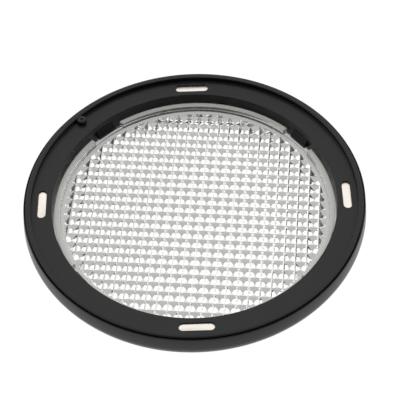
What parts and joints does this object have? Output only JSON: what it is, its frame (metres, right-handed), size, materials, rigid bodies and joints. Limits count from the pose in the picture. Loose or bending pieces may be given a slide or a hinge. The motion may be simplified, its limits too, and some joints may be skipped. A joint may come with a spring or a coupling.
{
  "type": "magnetic wide-angle flash diffuser",
  "caption": "Round clear lens panel moulded with square lenslets, in a black ring whose recessed face is held to a round flash head by magnets.",
  "frame": {"origin": "on the ring's axis at its front face, which is the face it lies on", "axes": "+Z along the axis, from the front face towards the flash head; +X and +Y each through the middle of a magnet"},
  "size_m": [0.0804, 0.0804, 0.0075],
  "materials": {
    "ring": "satin",
    "lens": "clear",
    "magnet": "nickel plated"
  },
  "bodies": {
    "root": {"front_shell": "ring", "rear_frame": "ring", "lens_panel": "lens", "magnet_1": "magnet", "magnet_2": "magnet", "magnet_3": "magnet", "magnet_4": "magnet"}
  },
  "joints": []
}
